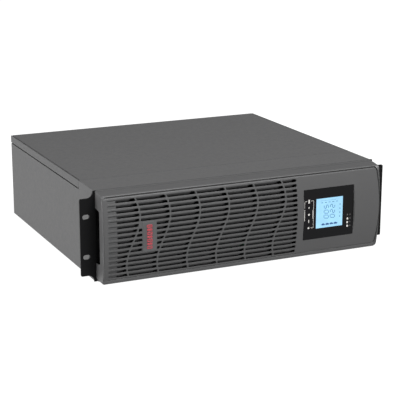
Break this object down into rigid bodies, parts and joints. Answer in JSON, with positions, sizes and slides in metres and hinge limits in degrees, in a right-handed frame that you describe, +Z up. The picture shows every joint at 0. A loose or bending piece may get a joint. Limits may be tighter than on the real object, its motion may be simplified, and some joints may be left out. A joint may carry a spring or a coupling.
{
  "type": "uninterruptible power supply",
  "caption": "Low wide rack power supply: metal case with side ears, bowed louvred front with a square lit display, rear fans, outlets and sockets.",
  "frame": {"origin": "centre of the underside of the overall bounding box, rack ears and earth stud included", "axes": "+Z up from the underside, +X to the right seen from the front, +Y from the front bezel to the rear panel"},
  "size_m": [0.4826, 0.425, 0.13],
  "materials": {
    "case_paint": "fine textured powder coat, dark grey",
    "inner_steel": "zinc-plated sheet",
    "ear_paint": "black powder coat",
    "black_screw": "black zinc",
    "bezel_plastic": "fine spark-eroded texture, dark grey",
    "badge_plastic": "moulded, with a red raised bar",
    "window_acrylic": "gloss black",
    "lcd_glass": "backlit pale blue",
    "lamp_plastic": "clear light guide",
    "black_plastic": "moulded",
    "breaker_plastic": "moulded",
    "circuit_board": "green solder mask",
    "battery_case": "moulded",
    "connector_plastic": "moulded grey",
    "zinc_steel": "bright zinc",
    "heatsink_aluminium": "extruded",
    "package_plastic": "moulded",
    "capacitor_sleeve": "shrunk sleeve",
    "film_capacitor": "dipped",
    "ferrite": "ferrite with yellow tape",
    "copper_winding": "enamelled wire",
    "brass_stud": "bright"
  },
  "bodies": {
    "chassis": {"base_tray": "case_paint", "left_side_panel": "case_paint", "right_side_panel": "case_paint", "front_roof_strip": "case_paint", "top_cover": "case_paint", "rear_panel": "case_paint", "option_slot_cover": "case_paint", "front_bulkhead": "inner_steel", "battery_divider": "inner_steel", "battery_tray": "inner_steel", "battery_clamps": "inner_steel", "left_rack_ear": "ear_paint", "right_rack_ear": "ear_paint", "rack_ear_screws": "black_screw", "cover_screws": "black_screw", "rear_screws": "black_screw", "left_fan_frame": "black_plastic", "right_fan_frame": "black_plastic", "battery_links": "black_plastic", "relays": "black_plastic", "epo_terminal": "black_plastic", "outlet_banks": "black_plastic", "power_inlet": "black_plastic", "breaker_body": "black_plastic", "power_board": "circuit_board", "control_board": "circuit_board", "comm_board": "circuit_board", "battery_1": "battery_case", "battery_2": "battery_case", "battery_3": "battery_case", "battery_4": "battery_case", "battery_5": "battery_case", "battery_6": "battery_case", "battery_plug": "connector_plastic", "battery_socket": "connector_plastic", "board_posts": "zinc_steel", "bezel_ball_studs": "zinc_steel", "fan_guards": "zinc_steel", "serial_port": "zinc_steel", "usb_port": "zinc_steel", "pfc_heatsink": "heatsink_aluminium", "inverter_heatsink": "heatsink_aluminium", "power_transistors": "package_plastic", "bulk_capacitors": "capacitor_sleeve", "filter_capacitors": "film_capacitor", "transformer": "ferrite", "chokes": "copper_winding", "earth_stud": "brass_stud"},
    "bezel": {"bezel_frame": "bezel_plastic", "louvre_panel": "bezel_plastic", "badge_plate": "badge_plastic", "display_window": "window_acrylic", "lcd_module": "lcd_glass", "lcd_backlight": "lamp_plastic", "display_board": "circuit_board", "status_light_pipes": "lamp_plastic", "display_housing": "black_plastic"},
    "left_fan_rotor": {"left_fan_rotor": "black_plastic"},
    "right_fan_rotor": {"right_fan_rotor": "black_plastic"},
    "breaker_button": {"breaker_button": "breaker_plastic"}
  },
  "joints": [
    {"name": "bezel_pull", "type": "slide", "parent": "chassis", "child": "bezel", "axis": [0, -1, 0], "range_m": [0, 0.06]},
    {"name": "left_fan_spin", "type": "hinge", "parent": "chassis", "child": "left_fan_rotor", "pos_m": [0.082, 0.1905, 0.064], "axis": [0, 1, 0], "continuous": true},
    {"name": "right_fan_spin", "type": "hinge", "parent": "chassis", "child": "right_fan_rotor", "pos_m": [0.168, 0.1905, 0.064], "axis": [0, 1, 0], "continuous": true},
    {"name": "breaker_reset", "type": "slide", "parent": "chassis", "child": "breaker_button", "axis": [0, 1, 0], "range_m": [0, 0.003]}
  ]
}
